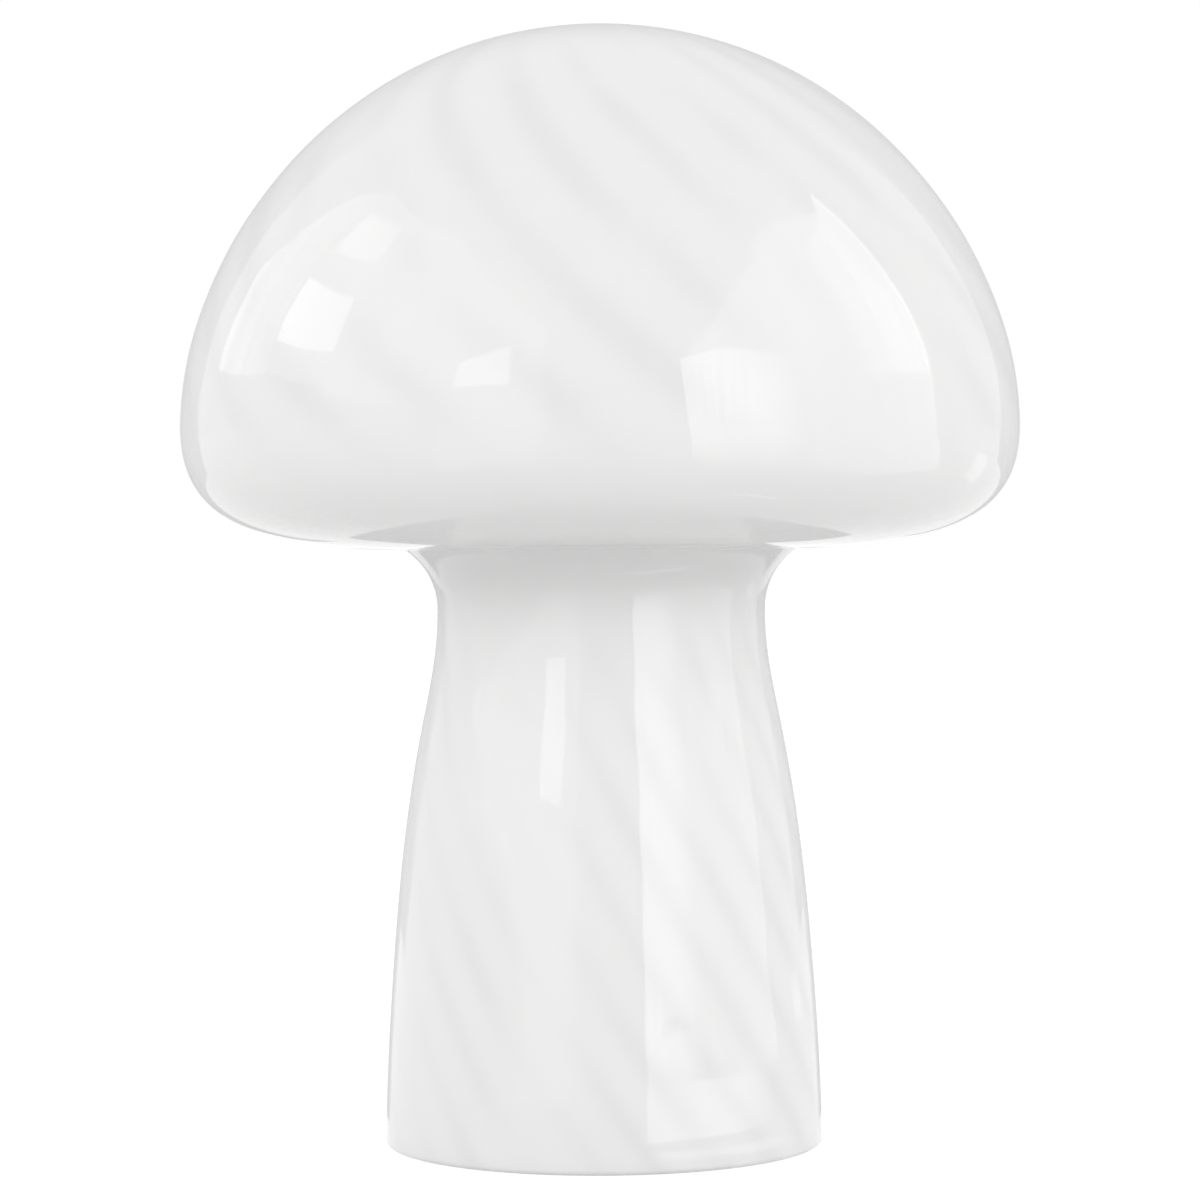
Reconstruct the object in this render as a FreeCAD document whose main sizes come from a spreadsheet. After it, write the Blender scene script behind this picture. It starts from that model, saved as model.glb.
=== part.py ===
import FreeCAD, Part
import math
import os
from types import SimpleNamespace

import Sketcher

# Mushroom table lamp, in millimetres. The origin is on the lamp's axis at the table, with +Z up.
# One blown glass body stands on its open foot. Inside the stem a three-armed spring bracket carries
# a tube, a lampholder and a round bulb. The cord's hole is at the back, on +Y.

os.makedirs("parts", exist_ok=True)
Vector = FreeCAD.Vector
doc = FreeCAD.newDocument("mushroom_table_lamp")

DIMENSIONS = {
    # The glass: heights and radii of its outside, and how full each curve between them is.
    "lamp_height": 296.0,
    "cap_radius": 111.0,
    "widest_height": 190.0,
    "underside_height": 157.5,
    "underside_radius": 53.0,
    "neck_height": 141.5,
    "neck_radius": 43.6,
    "foot_radius": 58.0,
    "foot_lean": 0.028,
    "glass_wall": 4.0,
    "foot_round": 1.5,
    "crown_fullness": 0.62,
    "shoulder_fullness": 0.43,
    "rim_fullness": 0.59,
    "brim_fullness": 0.815,
    "throat_fullness": 0.10,
    "throat_rise": 0.69,
    "waist_fullness": 0.195,
    "stem_fullness": 0.76,
    # The cord's hole and its rubber grommet.
    "cord_height": 16.0,
    "cord_hole_radius": 5.0,
    "cord_bore_radius": 3.2,
    "grommet_radius": 7.5,
    "grommet_lip": 2.0,
    # The spring bracket: a flat hub and three bent arms that end against the inside of the stem.
    "hub_height": 48.0,
    "hub_radius": 17.0,
    "arm_thickness": 1.0,
    "arm_width": 10.0,
    "arm_bend": 6.0,
    "arm_knee_radius": 24.0,
    "arm_foot_share": 0.035,
    "arm_shoulder_share": 0.14,
    "sleeve_wall": 1.2,
    "sleeve_length": 13.0,
    "sleeve_round": 0.9,
    "glass_clearance": 0.3,
    # The tube with its nuts, washers and bush.
    "tube_radius": 5.0,
    "tube_bore_radius": 3.9,
    "tube_drop": 7.5,
    "nut_flats": 14.0,
    "nut_height": 3.0,
    "washer_radius": 9.0,
    "washer_thickness": 1.0,
    "bush_wall": 0.6,
    "bush_length": 7.0,
    "bush_flange": 1.5,
    "thread_clearance": 0.05,
    # The lampholder.
    "holder_base": 74.0,
    "holder_height": 52.5,
    "holder_radius": 14.2,
    "holder_wall": 1.8,
    "holder_neck_radius": 8.2,
    "holder_neck_height": 8.0,
    "holder_cap_height": 22.0,
    "skirt_lap": 6.0,
    "tube_seat": 9.0,
    "block_height": 7.5,
    "block_clearance": 0.2,
    "liner_radius": 9.5,
    "liner_entry": 6.7,
    "rim_thickness": 2.0,
    "screw_radius": 1.5,
    "screw_head_radius": 2.6,
    "screw_head_height": 1.8,
    "screw_length": 5.0,
    "screw_slot": 0.6,
    "screw_spread": 7.0,
    "leaf_thickness": 0.4,
    "leaf_width": 3.0,
    "contact_gap": 0.35,
    # The screw thread between bulb and lampholder, as rounded grooves in each.
    "thread_pitch": 2.822,
    "shell_radius": 6.9,
    "shell_groove_reach": 7.25,
    "shell_groove_radius": 1.15,
    "socket_radius": 6.35,
    "socket_groove_reach": 6.10,
    "socket_groove_radius": 1.05,
    # The bulb.
    "bulb_radius": 22.5,
    "bulb_length": 78.0,
    "bulb_wall": 1.2,
    "bulb_seam_drop": 11.5,
    "contact_depth": 20.5,
    "tip_radius": 2.4,
    "tip_height": 1.2,
    "insulator_height": 3.3,
    "insulator_plug": 1.5,
    "insulator_clearance": 0.06,
    "shell_length": 19.0,
    "shell_wall": 1.5,
    "shell_chamfer": 0.8,
    "housing_radius": 8.5,
    "housing_wall": 1.4,
    "housing_ledge": 1.6,
    "led_board_thickness": 1.2,
    "led_board_drop": 2.0,
    "led_chip_size": 3.0,
    "led_chip_height": 0.8,
    "led_circle_radius": 11.0,
    "driver_width": 9.6,
    "driver_thickness": 1.2,
}
LED_COUNT = 8
ARM_COUNT = 3
FIRST_ARM_ANGLE = 30.0
QUARTER_ROUND = 0.5523
SCREW_SIDES = {"left": -1, "right": 1}

sheet = doc.addObject("Spreadsheet::Sheet", "sizes")
for row, (alias, number) in enumerate(DIMENSIONS.items(), start=1):
    sheet.set(f"A{row}", alias)
    sheet.set(f"B{row}", str(number))
    sheet.setAlias(f"B{row}", alias)
doc.recompute()


class Size:
    """A number, together with the sheet formula that it comes from."""

    def __init__(self, number, formula=None):
        self.number = float(number)
        self.formula = formula if formula else repr(float(number))

    def __add__(self, other):
        other = as_size(other)
        return Size(self.number + other.number, f"({self.formula} + {other.formula})")

    def __sub__(self, other):
        other = as_size(other)
        return Size(self.number - other.number, f"({self.formula} - {other.formula})")

    def __mul__(self, other):
        other = as_size(other)
        return Size(self.number * other.number, f"({self.formula} * {other.formula})")

    def __truediv__(self, other):
        other = as_size(other)
        return Size(self.number / other.number, f"({self.formula} / {other.formula})")

    def __radd__(self, other):
        return as_size(other) + self

    def __rsub__(self, other):
        return as_size(other) - self

    def __rmul__(self, other):
        return as_size(other) * self

    def __neg__(self):
        return Size(-self.number, f"(0 - {self.formula})")


def as_size(value):
    return value if isinstance(value, Size) else Size(value)


def root(value):
    return Size(math.sqrt(value.number), f"sqrt({value.formula})")


size = SimpleNamespace(**{alias: Size(number, f"sizes.{alias}") for alias, number in DIMENSIONS.items()})


# ---- Sketches -------------------------------------------------------------------------------------


def new_body(label):
    body = doc.addObject("PartDesign::Body", label)
    body.Label = label
    return body


def new_sketch(body, name, plane, offset=None):
    """A sketch on one of the body's own origin planes, or parallel to it at an offset."""
    sketch = body.newObject("Sketcher::SketchObject", name)
    support = next(item for item in body.Origin.OriginFeatures if item.Role == plane)
    sketch.AttachmentSupport = [(support, "")]
    sketch.MapMode = "FlatFace"
    if offset is not None:
        sketch.setExpression("AttachmentOffset.Base.z", offset.formula)
    return sketch


def point_at(place):
    return Vector(as_size(place[0]).number, as_size(place[1]).number, 0)


def pin(sketch, edge, vertex, place):
    """Hold one point of the sketch at formulas for its two coordinates."""
    for kind, coordinate, axis in (("DistanceX", place[0], -2), ("DistanceY", place[1], -1)):
        coordinate = as_size(coordinate)
        if coordinate.number == 0:
            sketch.addConstraint(Sketcher.Constraint("PointOnObject", edge, vertex, axis))
            continue
        held = sketch.addConstraint(Sketcher.Constraint(kind, -1, 1, edge, vertex, coordinate.number))
        sketch.setExpression(f"Constraints[{held}]", coordinate.formula)


def add_cubic(sketch, poles):
    """A cubic curve with its two handles pinned. Returns its first and last pole."""
    handles = [sketch.addGeometry(Part.Circle(point_at(pole), Vector(0, 0, 1), 1), True) for pole in poles]
    sketch.addConstraint(Sketcher.Constraint("Weight", handles[0], 1.0))
    for handle in handles[1:]:
        sketch.addConstraint(Sketcher.Constraint("Equal", handles[0], handle))
    spline = Part.BSplineCurve([point_at(pole) for pole in poles], None, None, False, 3, None, False)
    curve = sketch.addGeometry(spline, False)
    role = "InternalAlignment:Sketcher::BSplineControlPoint"
    sketch.addConstraint([Sketcher.Constraint(role, handles[k], 3, curve, k) for k in range(4)])
    sketch.exposeInternalGeometry(curve)
    for handle, pole in zip(handles[1:3], poles[1:3]):
        pin(sketch, handle, 3, pole)
    return (handles[0], 3), (handles[3], 3)


def add_outline(sketch, steps):
    """A closed outline: a step of one point is a line to it, a step of three points a cubic curve."""
    start = steps[-1][-1]
    edges = []
    for step in steps:
        if len(step) == 1:
            line = sketch.addGeometry(Part.LineSegment(point_at(start), point_at(step[0])))
            ends = (line, 1), (line, 2)
        else:
            ends = add_cubic(sketch, [start, *step])
        pin(sketch, *ends[0], start)
        edges.append(ends)
        start = step[-1]
    for (_, last), (first, _) in zip(edges, edges[1:] + edges[:1]):
        sketch.addConstraint(Sketcher.Constraint("Coincident", *last, *first))


def lines(*points):
    return [(point,) for point in points]


def rectangle(low_x, high_x, low_y, high_y):
    return lines((low_x, low_y), (high_x, low_y), (high_x, high_y), (low_x, high_y))


def add_circle(sketch, radius, centre=(0, 0)):
    circle = sketch.addGeometry(Part.Circle(point_at(centre), Vector(0, 0, 1), radius.number))
    if as_size(centre[0]).number == 0 and as_size(centre[1]).number == 0:
        sketch.addConstraint(Sketcher.Constraint("Coincident", circle, 3, -1, 1))
    else:
        pin(sketch, circle, 3, centre)
    held = sketch.addConstraint(Sketcher.Constraint("Radius", circle, radius.number))
    sketch.setExpression(f"Constraints[{held}]", radius.formula)


def add_bent_path(sketch, corners, bend):
    """An open path with straight runs between corners and a tangent arc of one radius at each bend."""
    spots = [point_at(corner) for corner in corners]
    runs = [(end - start).normalize() for start, end in zip(spots, spots[1:])]
    trims = [0.0] + [bend.number * math.tan(a.getAngle(b) / 2) for a, b in zip(runs, runs[1:])] + [0.0]
    edges = []
    for k, run in enumerate(runs):
        start = spots[k] + run * trims[k]
        end = spots[k + 1] - run * trims[k + 1]
        edges.append(sketch.addGeometry(Part.LineSegment(start, end)))
    pin(sketch, edges[0], 1, corners[0])
    pin(sketch, edges[-1], 2, corners[-1])
    for k in range(1, len(runs)):
        turn = runs[k - 1].cross(runs[k]).z
        side = Vector(-runs[k - 1].y, runs[k - 1].x, 0) * math.copysign(bend.number, turn)
        entry = spots[k] - runs[k - 1] * trims[k]
        leave = spots[k] + runs[k] * trims[k]
        centre = entry + side
        ends = (entry, leave) if turn > 0 else (leave, entry)
        angles = [math.atan2(end.y - centre.y, end.x - centre.x) for end in ends]
        bend_circle = Part.Circle(centre, Vector(0, 0, 1), bend.number)
        arc = sketch.addGeometry(Part.ArcOfCircle(bend_circle, *angles))
        knee = sketch.addGeometry(Part.Point(spots[k]), True)
        pin(sketch, knee, 1, corners[k])
        sketch.addConstraint(Sketcher.Constraint("PointOnObject", knee, 1, edges[k - 1]))
        sketch.addConstraint(Sketcher.Constraint("PointOnObject", knee, 1, edges[k]))
        first, last = (1, 2) if turn > 0 else (2, 1)
        sketch.addConstraint(Sketcher.Constraint("Tangent", edges[k - 1], 2, arc, first))
        sketch.addConstraint(Sketcher.Constraint("Tangent", arc, last, edges[k], 1))
        held = sketch.addConstraint(Sketcher.Constraint("Radius", arc, bend.number))
        sketch.setExpression(f"Constraints[{held}]", bend.formula)


# ---- Features -------------------------------------------------------------------------------------


def bind(feature, **formulas):
    for name, formula in formulas.items():
        feature.setExpression(name, as_size(formula).formula)
    return feature


def revolve(body, name, steps, cut=False):
    """Turn an outline, drawn as radius and height, about the body's upright axis."""
    sketch = new_sketch(body, f"{name}_outline", "XZ_Plane")
    add_outline(sketch, steps)
    feature = body.newObject("PartDesign::Groove" if cut else "PartDesign::Revolution", name)
    feature.Profile = sketch
    feature.ReferenceAxis = (sketch, ["V_Axis"])
    feature.Angle = 360
    return feature


def turned(label, steps):
    body = new_body(label)
    revolve(body, f"{label}_turning", steps)
    return body


def extrude(body, name, sketch, length, cut=False, symmetric=False, reverse=False):
    feature = body.newObject("PartDesign::Pocket" if cut else "PartDesign::Pad", name)
    feature.Profile = sketch
    feature.Midplane = symmetric
    feature.Reversed = reverse
    return bind(feature, Length=length)


def extrude_outline(body, name, steps, plane, length, offset=None, **options):
    sketch = new_sketch(body, f"{name}_outline", plane, offset)
    add_outline(sketch, steps)
    return extrude(body, name, sketch, length, **options)


def extrude_circle(body, name, radius, centre, plane, length, offset=None, **options):
    sketch = new_sketch(body, f"{name}_outline", plane, offset)
    add_circle(sketch, radius, centre)
    return extrude(body, name, sketch, length, **options)


def pattern_round(body, name, feature, count):
    """Repeat a feature round the body's upright axis."""
    pattern = body.newObject("PartDesign::PolarPattern", name)
    pattern.Originals = [feature]
    pattern.Axis = (next(item for item in body.Origin.OriginFeatures if item.Role == "Z_Axis"), [""])
    pattern.Angle = 360
    pattern.Occurrences = count
    body.Tip = pattern
    return pattern


def bend_strip(body, name, corners, bend, width, thickness):
    """A flat strip that starts level, along X, and follows a bent path."""
    path = new_sketch(body, f"{name}_path", "XZ_Plane")
    add_bent_path(path, corners, bend)
    start_x, start_z = (as_size(value) for value in corners[0])
    section = new_sketch(body, f"{name}_section", "YZ_Plane", start_x)
    add_outline(
        section,
        rectangle(-width / 2, width / 2, start_z - thickness / 2, start_z + thickness / 2),
    )
    strip = body.newObject("PartDesign::AdditivePipe", name)
    strip.Profile = section
    strip.Spine = (path, [])
    return strip


def cut_screw_groove(body, name, reach, radius, start_height, run):
    """A round-bottomed helical groove of the lamp thread's pitch."""
    section = new_sketch(body, f"{name}_section", "XZ_Plane")
    add_circle(section, radius, (reach, start_height))
    groove = body.newObject("PartDesign::SubtractiveHelix", name)
    groove.Profile = section
    groove.ReferenceAxis = (section, ["V_Axis"])
    groove.Mode = 0
    groove.Angle = 0
    return bind(groove, Pitch=size.thread_pitch, Height=run)


# ---- Shared places --------------------------------------------------------------------------------


def glass_curves(inset):
    """The glass's profile from foot to crown as four cubic curves, moved into the glass by inset."""
    foot = size.foot_radius - inset
    neck = size.neck_radius - inset
    cap = size.cap_radius - inset
    crown = size.lamp_height - inset
    brim = size.underside_height + inset
    stem_handle = size.stem_fullness * size.neck_height
    throat_handle = size.neck_height + size.throat_rise * (brim - size.neck_height)
    stem = [
        (foot, size.foot_round),
        (foot - size.foot_lean * stem_handle, stem_handle),
        (neck, size.neck_height * (1 - size.waist_fullness)),
        (neck, size.neck_height),
    ]
    throat = [
        stem[-1],
        (neck, throat_handle),
        (size.underside_radius - size.throat_fullness * (size.underside_radius - neck), brim),
        (size.underside_radius, brim),
    ]
    brim_curve = [
        throat[-1],
        (size.underside_radius + size.brim_fullness * (cap - size.underside_radius), brim),
        (cap, size.widest_height - size.rim_fullness * (size.widest_height - brim)),
        (cap, size.widest_height),
    ]
    dome = [
        brim_curve[-1],
        (cap, size.widest_height + size.shoulder_fullness * (crown - size.widest_height)),
        (size.crown_fullness * cap, crown),
        (0, crown),
    ]
    return [stem, throat, brim_curve, dome]


def cubic_at(poles, share):
    """The point at a share of the way along a cubic curve."""
    rest = 1 - share
    weights = (rest * rest * rest, 3 * share * rest * rest, 3 * share * share * rest, share * share * share)
    return tuple(
        poles[0][axis] * weights[0] + poles[1][axis] * weights[1]
        + poles[2][axis] * weights[2] + poles[3][axis] * weights[3]
        for axis in (0, 1)
    )


stem_inside = glass_curves(size.glass_wall)[0]
hub_top = size.hub_height + size.arm_thickness / 2
hub_bottom = size.hub_height - size.arm_thickness / 2
upper_nut_seat = hub_top + size.washer_thickness
lower_nut_seat = hub_bottom - size.washer_thickness
tube_bottom = size.hub_height - size.tube_drop
tube_top = size.holder_base + size.tube_seat
tube_hole_radius = size.tube_radius + size.thread_clearance
holder_top = size.holder_base + size.holder_height
cap_top = size.holder_base + size.holder_cap_height
block_top = cap_top + size.block_height
socket_bottom = block_top + size.liner_entry
skirt_inside = size.holder_radius - size.holder_wall
tip_bottom = holder_top - size.contact_depth
insulator_bottom = tip_bottom + size.tip_height
shell_bottom = insulator_bottom + size.insulator_height
shell_top = shell_bottom + size.shell_length
shell_bore = size.shell_radius - size.shell_wall
shell_groove_start = shell_bottom - size.shell_groove_radius - size.insulator_clearance
bulb_centre = tip_bottom + size.bulb_length - size.bulb_radius
bulb_seam = bulb_centre - size.bulb_seam_drop
seam_radius = root(size.bulb_radius * size.bulb_radius - size.bulb_seam_drop * size.bulb_seam_drop)
led_board_bottom = bulb_seam - size.led_board_drop
led_board_top = led_board_bottom + size.led_board_thickness
cord_hole_centre = (0, size.cord_height)


# ---- The glass and its grommet --------------------------------------------------------------------


def make_glass_body():
    """One blown shell: foot, stem, neck, rolled-under rim and dome, with a round hole for the cord."""
    body = new_body("glass_body")
    outside = glass_curves(as_size(0))
    inside = glass_curves(size.glass_wall)
    foot_outer = size.foot_radius
    foot_inner = size.foot_radius - size.glass_wall
    handle = size.foot_round * (1 - QUARTER_ROUND)
    steps = [tuple(curve[1:]) for curve in outside]
    steps += [((0, size.lamp_height - size.glass_wall),)]
    steps += [tuple(reversed(curve[:-1])) for curve in reversed(inside)]
    steps += [
        ((foot_inner, handle), (foot_inner + handle, 0), (foot_inner + size.foot_round, 0)),
        ((foot_outer - size.foot_round, 0),),
        ((foot_outer - handle, 0), (foot_outer, handle), (foot_outer, size.foot_round)),
    ]
    revolve(body, "blown_shell", steps)
    extrude_circle(
        body, "cord_hole", size.cord_hole_radius, cord_hole_centre, "XZ_Plane",
        size.foot_radius + size.glass_wall, cut=True,
    )
    return body


def make_cord_grommet(glass):
    """A rubber ring that fills the cord's hole, with a lip on both sides of the glass."""
    blank = new_body("grommet_blank")
    outer_end = size.foot_radius + size.grommet_lip
    inner_end = size.foot_radius - size.glass_wall - size.grommet_lip
    sketch = new_sketch(blank, "lip_outline", "XZ_Plane", -outer_end)
    add_circle(sketch, size.grommet_radius, cord_hole_centre)
    add_circle(sketch, size.cord_bore_radius, cord_hole_centre)
    extrude(blank, "lips", sketch, outer_end - inner_end)
    grommet = doc.addObject("Part::Cut", "cord_grommet")
    grommet.Base = blank
    grommet.Tool = glass
    grommet.Label = "cord_grommet"
    return grommet


# ---- The spring bracket ---------------------------------------------------------------------------


def arm_line():
    """The lowest point and the upper bend of an arm's last run, which lies along the glass."""
    depth = size.sleeve_wall + size.arm_thickness / 2
    half_width = size.arm_width / 2 + size.sleeve_wall
    ends = []
    for share in (size.arm_foot_share, size.arm_shoulder_share):
        wall_radius, height = cubic_at(stem_inside, share)
        reach = wall_radius - size.glass_clearance
        ends.append((root(reach * reach - half_width * half_width) - depth, height))
    return ends


arm_foot, arm_shoulder = arm_line()
arm_slope = (arm_shoulder[0] - arm_foot[0]) / (arm_shoulder[1] - arm_foot[1])


def make_spring_bracket():
    """A stamped hub with three arms that bend down and end along the inside of the stem."""
    body = new_body("spring_bracket")
    extrude_circle(
        body, "hub", size.hub_radius, (0, 0), "XY_Plane", size.arm_thickness,
        offset=size.hub_height, symmetric=True,
    )
    corners = [(size.hub_radius / 2, size.hub_height), (size.arm_knee_radius, size.hub_height),
               arm_shoulder, arm_foot]
    arm = bend_strip(body, "arm", corners, size.arm_bend, size.arm_width, size.arm_thickness)
    pattern_round(body, "arms", arm, ARM_COUNT)
    extrude_circle(
        body, "tube_hole", tube_hole_radius, (0, 0), "XY_Plane", 2 * size.arm_thickness,
        offset=size.hub_height, cut=True, symmetric=True,
    )
    body.Placement = turned_about_axis(FIRST_ARM_ANGLE)
    return body


def turned_about_axis(degrees):
    return FreeCAD.Placement(Vector(0, 0, 0), FreeCAD.Rotation(Vector(0, 0, 1), degrees))


def sleeve_outline(low, high, half_depth):
    """The side view of a block that follows the arm's last run between two heights."""
    low_x = arm_foot[0] + arm_slope * (low - arm_foot[1])
    high_x = arm_foot[0] + arm_slope * (high - arm_foot[1])
    return lines((low_x - half_depth, low), (low_x + half_depth, low),
                 (high_x + half_depth, high), (high_x - half_depth, high))


def make_arm_sleeve(number):
    """A soft sleeve, closed at its lower end, over the tip of one arm."""
    label = f"arm_sleeve_{number}"
    body = new_body(label)
    half_arm = size.arm_thickness / 2 + size.thread_clearance
    low = arm_foot[1] - size.sleeve_wall
    high = arm_foot[1] + size.sleeve_length
    block = extrude_outline(
        body, f"{label}_block", sleeve_outline(low, high, size.sleeve_wall + size.arm_thickness / 2),
        "XZ_Plane", size.arm_width + 2 * size.sleeve_wall, symmetric=True,
    )
    doc.recompute()
    rounding = body.newObject("PartDesign::Fillet", f"{label}_rounding")
    rounding.Base = (block, [""])
    rounding.UseAllEdges = True
    bind(rounding, Radius=size.sleeve_round)
    slot = sleeve_outline(arm_foot[1] - size.thread_clearance, high + size.sleeve_wall, half_arm)
    extrude_outline(body, f"{label}_slot", slot, "XZ_Plane", size.arm_width, cut=True, symmetric=True)
    body.Placement = turned_about_axis(FIRST_ARM_ANGLE + (number - 1) * 360 / ARM_COUNT)
    return body


# ---- The tube and what clamps it ------------------------------------------------------------------


def make_tube():
    wall = rectangle(size.tube_bore_radius, size.tube_radius, tube_bottom, tube_top)
    return turned("threaded_tube", wall)


def make_washer(label, bottom):
    top = bottom + size.washer_thickness
    return turned(label, rectangle(tube_hole_radius, size.washer_radius, bottom, top))


def make_nut(label, bottom):
    """A thin hexagon nut with its corners turned down."""
    body = new_body(label)
    corner = size.nut_flats / math.sqrt(3)
    bevel = corner - size.nut_flats / 2
    top = bottom + size.nut_height
    low_slope = bottom + bevel / 2
    high_slope = top - bevel / 2
    revolve(body, f"{label}_turning", lines(
        (tube_hole_radius, bottom), (corner - bevel, bottom), (corner, low_slope),
        (corner, high_slope), (corner - bevel, top), (tube_hole_radius, top),
    ))
    sketch = new_sketch(body, f"{label}_hexagon", "XY_Plane", bottom)
    angles = [math.radians(60 * k) for k in range(6)]
    add_outline(sketch, lines(*[(corner * math.cos(a), corner * math.sin(a)) for a in angles]))
    add_circle(sketch, 2 * corner)
    extrude(body, f"{label}_flats", sketch, size.nut_height, cut=True, reverse=True)
    return body


def make_tube_bush():
    """A flanged plastic bush that keeps the cord off the tube's lower edge."""
    bore = size.tube_bore_radius - size.bush_wall
    flange_bottom = tube_bottom - size.bush_flange
    return turned("tube_bush", lines(
        (bore, flange_bottom), (size.tube_radius, flange_bottom), (size.tube_radius, tube_bottom),
        (size.tube_bore_radius, tube_bottom), (size.tube_bore_radius, tube_bottom + size.bush_length),
        (bore, tube_bottom + size.bush_length),
    ))


# ---- The lampholder -------------------------------------------------------------------------------


lock_screw_height = size.holder_base + size.holder_neck_height / 2


def make_holder_cap():
    """The lower shell: a threaded neck for the tube, and a cup that the skirt laps over."""
    body = new_body("holder_cap")
    base = size.holder_base
    neck_top = base + size.holder_neck_height
    shoulder = neck_top + size.holder_wall
    lap_bottom = cap_top - size.skirt_lap
    spigot_radius = skirt_inside - size.thread_clearance
    cup_radius = skirt_inside - size.holder_wall
    floor = tube_top + size.holder_wall
    revolve(body, "cap_turning", lines(
        (tube_hole_radius, base), (size.holder_neck_radius, base), (size.holder_neck_radius, neck_top),
        (skirt_inside, neck_top), (size.holder_radius, shoulder),
        (size.holder_radius, lap_bottom), (spigot_radius, lap_bottom), (spigot_radius, cap_top),
        (cup_radius, cap_top), (cup_radius, floor), (tube_hole_radius, floor),
    ))
    extrude_circle(
        body, "lock_screw_hole", size.screw_radius, (0, lock_screw_height), "YZ_Plane",
        2 * size.holder_neck_radius, cut=True, reverse=True,
    )
    return body


def make_lock_screw():
    """A slotted grub screw through the neck, against the tube."""
    body = new_body("holder_lock_screw")
    outer_end = size.holder_neck_radius
    extrude_circle(
        body, "grub", size.screw_radius, (0, lock_screw_height), "YZ_Plane",
        outer_end - size.tube_radius, offset=size.tube_radius,
    )
    extrude_outline(
        body, "grub_slot",
        rectangle(-2 * size.screw_radius, 2 * size.screw_radius,
                  lock_screw_height - size.screw_slot / 2, lock_screw_height + size.screw_slot / 2),
        "YZ_Plane", size.screw_slot, offset=outer_end, cut=True,
    )
    return body


def make_holder_skirt():
    """The upper shell: an outer wall and an inner liner with the bulb's thread, joined at the rim."""
    body = new_body("holder_skirt")
    lap_bottom = cap_top - size.skirt_lap
    rim_bottom = holder_top - size.rim_thickness
    entry_radius = size.socket_groove_reach + size.socket_groove_radius + size.block_clearance
    revolve(body, "skirt_turning", lines(
        (skirt_inside, lap_bottom), (size.holder_radius, lap_bottom), (size.holder_radius, holder_top),
        (size.socket_radius, holder_top), (size.socket_radius, socket_bottom),
        (entry_radius, socket_bottom), (entry_radius, block_top), (size.liner_radius, block_top),
        (size.liner_radius, rim_bottom), (skirt_inside, rim_bottom),
    ))
    groove_start = shell_groove_start - size.thread_pitch / 2
    cut_screw_groove(
        body, "socket_groove", size.socket_groove_reach, size.socket_groove_radius,
        groove_start, holder_top + size.thread_pitch - groove_start,
    )
    return body


def make_terminal_block():
    """A round insert that stands on the cap's edge and carries both contacts and their screws."""
    body = turned("terminal_block", rectangle(0, skirt_inside - size.block_clearance, cap_top, block_top))
    for name, side in SCREW_SIDES.items():
        extrude_circle(
            body, f"{name}_screw_hole", size.screw_radius, (side * size.screw_spread, 0), "XY_Plane",
            size.screw_length, offset=cap_top, cut=True, reverse=True,
        )
    return body


def make_terminal_screws():
    """Two slotted screws, head down, under the terminal block."""
    screws = []
    for name, side in SCREW_SIDES.items():
        screw = new_body(f"{name}_terminal_screw")
        centre = (side * size.screw_spread, 0)
        head_bottom = cap_top - size.screw_head_height
        extrude_circle(
            screw, f"{name}_head", size.screw_head_radius, centre, "XY_Plane",
            size.screw_head_height, offset=head_bottom,
        )
        extrude_circle(
            screw, f"{name}_shank", size.screw_radius, centre, "XY_Plane", size.screw_length,
            offset=cap_top,
        )
        extrude_outline(
            screw, f"{name}_slot",
            rectangle(centre[0] - size.screw_head_radius * 2, centre[0] + size.screw_head_radius * 2,
                      -size.screw_slot / 2, size.screw_slot / 2),
            "XY_Plane", size.screw_slot, offset=head_bottom, cut=True, reverse=True,
        )
        screws.append(screw)
    return group("terminal_screws", screws)


def group(label, members):
    """Separate solids that share one name."""
    compound = doc.addObject("Part::Compound", label)
    compound.Links = members
    compound.Label = label
    return compound


def make_centre_contact():
    """A brass leaf that rises to just under the bulb's tip."""
    body = new_body("centre_contact")
    low = block_top + size.leaf_thickness / 2
    high = tip_bottom - size.contact_gap - size.leaf_thickness / 2
    far = size.socket_radius
    corners = [(-far, low), (-far / 2, low), (-far / 4, high), (size.tip_radius, high)]
    bend_strip(body, "centre_leaf", corners, size.leaf_thickness, size.leaf_width, size.leaf_thickness)
    return body


def make_side_contact():
    """A brass leaf that stands up beside the bulb's screw shell and leans in under its edge."""
    body = new_body("side_contact")
    low = block_top + size.leaf_thickness / 2
    top = shell_bottom - size.contact_gap - size.leaf_thickness
    reach = size.socket_radius
    lean = reach - 2 * size.leaf_thickness
    knee = (low + top) / 2 + size.leaf_thickness
    corners = [(size.tip_radius + size.leaf_width / 2, low), (reach, low), (reach, knee), (lean, top)]
    bend_strip(body, "side_leaf", corners, size.leaf_thickness, size.leaf_width, size.leaf_thickness)
    return body


# ---- The bulb -------------------------------------------------------------------------------------


def make_bulb_tip():
    bottom = tip_bottom
    top = insulator_bottom
    return turned("bulb_tip", [
        ((size.tip_radius * QUARTER_ROUND, bottom), (size.tip_radius, bottom + size.tip_height / 2),
         (size.tip_radius, top)),
        ((0, top),),
        ((0, bottom),),
    ])


def make_bulb_insulator():
    """A cone between the tip and the shell, with a plug that enters the shell."""
    plug = shell_bore - size.insulator_clearance
    plug_top = shell_bottom + size.insulator_plug
    tip_ledge = size.tip_radius + size.leaf_thickness
    return turned("bulb_insulator", lines(
        (0, insulator_bottom), (tip_ledge, insulator_bottom), (plug, shell_bottom),
        (plug, plug_top), (0, plug_top),
    ))


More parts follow.
